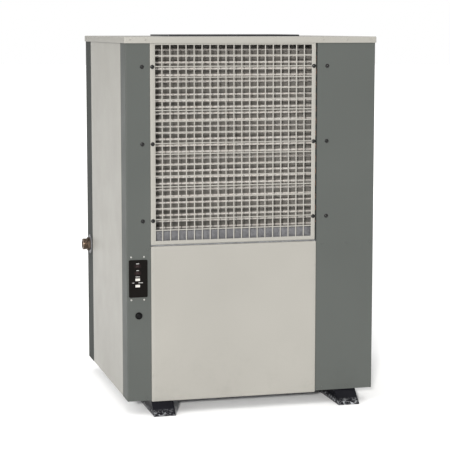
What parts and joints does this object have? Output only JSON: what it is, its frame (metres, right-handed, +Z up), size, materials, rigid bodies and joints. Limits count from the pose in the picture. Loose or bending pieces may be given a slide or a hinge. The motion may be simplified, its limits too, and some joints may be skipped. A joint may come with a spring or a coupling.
{
  "type": "commercial dehumidifier",
  "caption": "Floor-standing cabinet dehumidifier with a front mesh intake, top air outlet, left-hand controls and folded runner feet.",
  "frame": {"origin": "on the floor, under the middle of the overall bounding box", "axes": "+X to the right seen from the front, +Y from the front to the back, +Z up"},
  "size_m": [1.07, 1.0186, 1.512],
  "materials": {
    "panel_paint": "satin powder coat, warm light grey",
    "grey_paint": "satin powder coat, mid grey",
    "black_paint": "gloss black enamel",
    "galvanised": "zinc-coated sheet",
    "fin_metal": "plain aluminium fin stock",
    "copper": "plain copper tube",
    "motor_paint": "dark grey enamel",
    "rubber": "black rubber",
    "brass": "aged brass",
    "box_paint": "satin grey",
    "device_plastic": "black moulded plastic",
    "fascia": "near-black sheet",
    "display_glass": "dark red window",
    "key_plastic": "off-white",
    "black_screw": "black oxide"
  },
  "bodies": {
    "cabinet": {"base_pan": "galvanised", "blower_shelf": "galvanised", "cable_gland": "device_plastic", "case_screws": "galvanised", "compressor": "black_paint", "compressor_bolts": "galvanised", "compressor_mounts": "rubber", "condenser_end_plates": "galvanised", "condenser_fins": "fin_metal", "condenser_tubes": "copper", "contactors": "device_plastic", "control_housing": "device_plastic", "control_panel": "fascia", "discharge_line": "copper", "displays": "display_glass", "dome_screws": "black_screw", "drain_fitting": "brass", "drain_hose": "rubber", "drain_nut": "brass", "drain_washer": "galvanised", "drip_tray": "galvanised", "electrical_box": "box_paint", "electrical_box_lid": "box_paint", "evaporator_end_plates": "galvanised", "evaporator_fins": "fin_metal", "evaporator_tubes": "copper", "expansion_valve": "brass", "feed_lines": "copper", "filter_drier": "motor_paint", "front_left_pillar": "grey_paint", "front_right_pillar": "grey_paint", "grille_frame": "panel_paint", "grille_mesh": "panel_paint", "left_blower_motor": "motor_paint", "left_blower_scroll": "galvanised", "left_blower_sides": "galvanised", "left_side_panel": "panel_paint", "left_skid": "black_paint", "liquid_line": "copper", "liquid_receiver": "black_paint", "lower_front_panel": "panel_paint", "middle_deck": "galvanised", "outlet_frame": "black_paint", "outlet_guard": "black_paint", "rear_left_post": "grey_paint", "rear_panel": "panel_paint", "rear_right_post": "grey_paint", "right_blower_motor": "motor_paint", "right_blower_scroll": "galvanised", "right_blower_sides": "galvanised", "right_side_panel": "panel_paint", "right_skid": "black_paint", "suction_line": "copper", "switch_body": "device_plastic", "top_cover": "panel_paint"},
    "left_wheel": {"left_blower_wheel": "galvanised"},
    "right_wheel": {"right_blower_wheel": "galvanised"},
    "up_key": {"up_button": "key_plastic"},
    "down_key": {"down_button": "key_plastic"},
    "selector": {"switch_knob": "device_plastic"}
  },
  "joints": [
    {"name": "left_wheel_spin", "type": "hinge", "parent": "cabinet", "child": "left_wheel", "pos_m": [-0.113, 0.114, 1.2718], "axis": [1, 0, 0], "continuous": true},
    {"name": "right_wheel_spin", "type": "hinge", "parent": "cabinet", "child": "right_wheel", "pos_m": [0.145, 0.114, 1.2718], "axis": [1, 0, 0], "continuous": true},
    {"name": "up_press", "type": "slide", "parent": "cabinet", "child": "up_key", "axis": [0, 1, 0], "range_m": [0, 0.0015], "stiffness_N_per_m": 700, "springref_m": -0.001},
    {"name": "down_press", "type": "slide", "parent": "cabinet", "child": "down_key", "axis": [0, 1, 0], "range_m": [0, 0.0015], "stiffness_N_per_m": 700, "springref_m": -0.001},
    {"name": "selector_turn", "type": "hinge", "parent": "cabinet", "child": "selector", "pos_m": [-0.452, -0.46, 0.4035], "axis": [0, 1, 0], "range_deg": [0, 90]}
  ]
}
